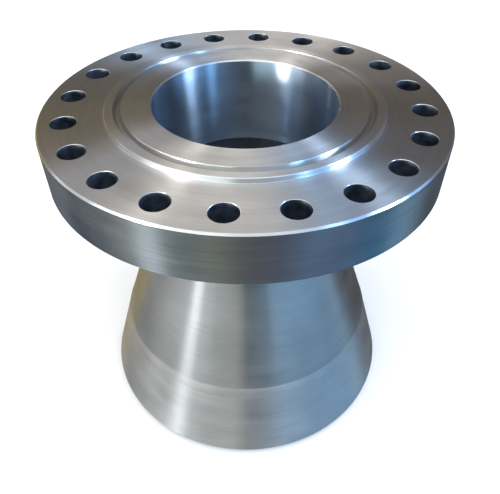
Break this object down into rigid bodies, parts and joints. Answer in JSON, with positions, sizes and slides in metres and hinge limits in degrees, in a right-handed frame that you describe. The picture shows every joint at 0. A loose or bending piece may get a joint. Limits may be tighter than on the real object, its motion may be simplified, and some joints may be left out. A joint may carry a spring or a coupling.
{
  "type": "weld neck flange",
  "caption": "Round steel pipe flange with a raised grooved gasket face, a drilled bolt circle, a plain bore and a long neck that widens to a bevelled butt-weld end.",
  "frame": {"origin": "centre of the lowest plane of the bevelled weld end, on the axis of the bore", "axes": "+Z along the bore axis towards the gasket face; +X and +Y run midway between two bolt holes"},
  "size_m": [0.61, 0.61, 0.5653],
  "materials": {
    "machined_steel": "fine turned finish with concentric tool marks, satin, no coating",
    "neck_steel": "smooth turned finish, brighter than satin, with long soft reflections down the cone",
    "weld_metal": "dressed nearly flush and linished round the girth"
  },
  "bodies": {
    "root": {"flange_forging": "machined_steel", "hub_weld": "weld_metal", "expander_cone": "neck_steel", "skirt_weld": "weld_metal", "weld_end_skirt": "neck_steel"}
  },
  "joints": []
}
